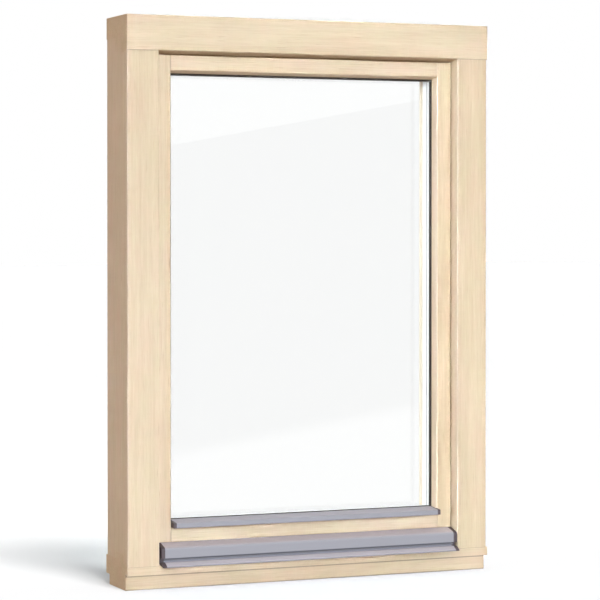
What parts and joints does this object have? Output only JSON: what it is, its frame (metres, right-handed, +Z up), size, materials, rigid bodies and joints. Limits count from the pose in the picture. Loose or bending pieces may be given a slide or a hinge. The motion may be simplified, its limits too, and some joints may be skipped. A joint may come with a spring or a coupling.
{
  "type": "wooden window",
  "caption": "Clear-finished timber window with a glazed inward-opening sash, rebated frame, aluminium rain rail and drip rail, and a subsill.",
  "frame": {"origin": "middle of the subsill's foot", "axes": "+Z up, the outside face looks towards -Y, +X to the right seen from outside"},
  "size_m": [0.7172, 0.1819, 1.027],
  "materials": {
    "wood": "clear",
    "glass": "clear",
    "spacer": "matt",
    "gasket": "matt",
    "plastic": "matt",
    "aluminium": "satin anodised",
    "cap": "matt",
    "fitting": "satin"
  },
  "bodies": {
    "root": {"frame_head": "wood", "frame_jamb_left": "wood", "frame_jamb_right": "wood", "frame_sill": "wood", "subsill": "wood", "sash_top_rail": "wood", "sash_bottom_rail": "wood", "sash_stile_left": "wood", "sash_stile_right": "wood", "glazing_bead_top": "wood", "glazing_bead_bottom": "wood", "glazing_bead_left": "wood", "glazing_bead_right": "wood", "glass_outer_pane": "glass", "glass_middle_pane": "glass", "glass_inner_pane": "glass", "spacer_outer": "spacer", "spacer_inner": "spacer", "outer_glazing_gasket": "gasket", "inner_glazing_gasket": "gasket", "rebate_gasket": "gasket", "setting_blocks": "plastic", "sash_drip_rail": "aluminium", "rain_rail": "aluminium", "sash_drip_cap_left": "cap", "sash_drip_cap_right": "cap", "rain_rail_cap_left": "cap", "rain_rail_cap_right": "cap", "handle_rose": "fitting", "handle_lever": "fitting", "hinge_lower_frame": "fitting", "hinge_lower_sash": "fitting", "hinge_upper_frame": "fitting", "hinge_upper_sash": "fitting"}
  },
  "joints": []
}
